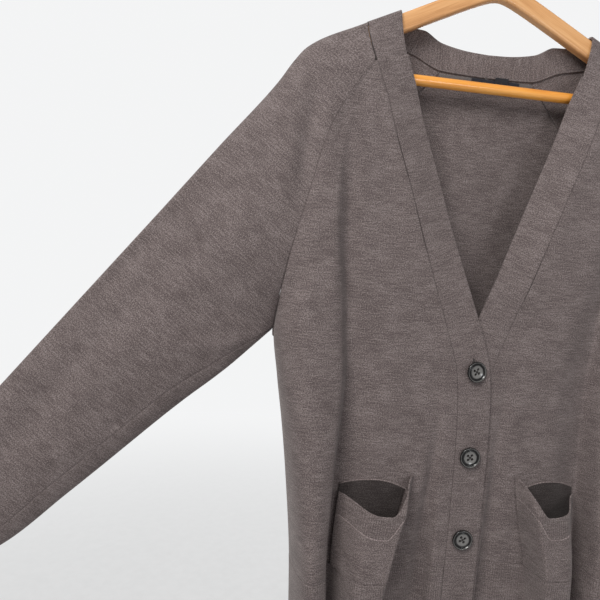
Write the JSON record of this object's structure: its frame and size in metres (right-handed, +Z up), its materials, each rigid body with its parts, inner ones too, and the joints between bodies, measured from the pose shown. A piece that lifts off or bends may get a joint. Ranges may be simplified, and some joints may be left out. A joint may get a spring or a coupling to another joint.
{
  "type": "button cardigan on a coat hanger",
  "caption": "Fine-knit V-neck raglan button cardigan with ribbed hem and cuffs and gaping patch pockets, hanging open-sleeved on a wooden coat hanger with a trouser bar.",
  "frame": {"origin": "underside of the hook's crown, where the hanger rests on its rail", "axes": "+Z up, the cardigan's front faces -Y, +X to the right of someone who looks at the front"},
  "size_m": [1.1784, 0.0894, 0.7667],
  "materials": {
    "knit": "fine single knit, heathered taupe grey",
    "rib_knit": "fine ribbed or doubled knit, heathered taupe grey",
    "button": "dark charcoal plastic, satin, with a polished rim",
    "tape": "grey woven tape",
    "label": "dark woven label, blank",
    "wood": "light varnished wood",
    "bar_wood": "orange-tan varnished wood",
    "hook_metal": "plated steel wire"
  },
  "bodies": {
    "root": {"front_left": "knit", "sleeve_left": "knit", "cuff_left": "rib_knit", "band_left": "rib_knit", "hem_rib_front_left": "rib_knit", "pocket_front_left": "knit", "pocket_band_left": "rib_knit", "pocket_lining_left": "knit", "front_right": "knit", "sleeve_right": "knit", "cuff_right": "rib_knit", "band_right": "rib_knit", "hem_rib_front_right": "rib_knit", "pocket_front_right": "knit", "pocket_band_right": "rib_knit", "pocket_lining_right": "knit", "back": "knit", "hem_rib_back": "rib_knit", "neckband_back": "rib_knit", "neck_tape": "tape", "neck_label": "label", "size_tab": "label", "button_1": "button", "button_2": "button", "button_3": "button", "button_4": "button", "hanger_arms": "wood", "hanger_bar": "bar_wood", "hanger_hook": "hook_metal"}
  },
  "joints": []
}
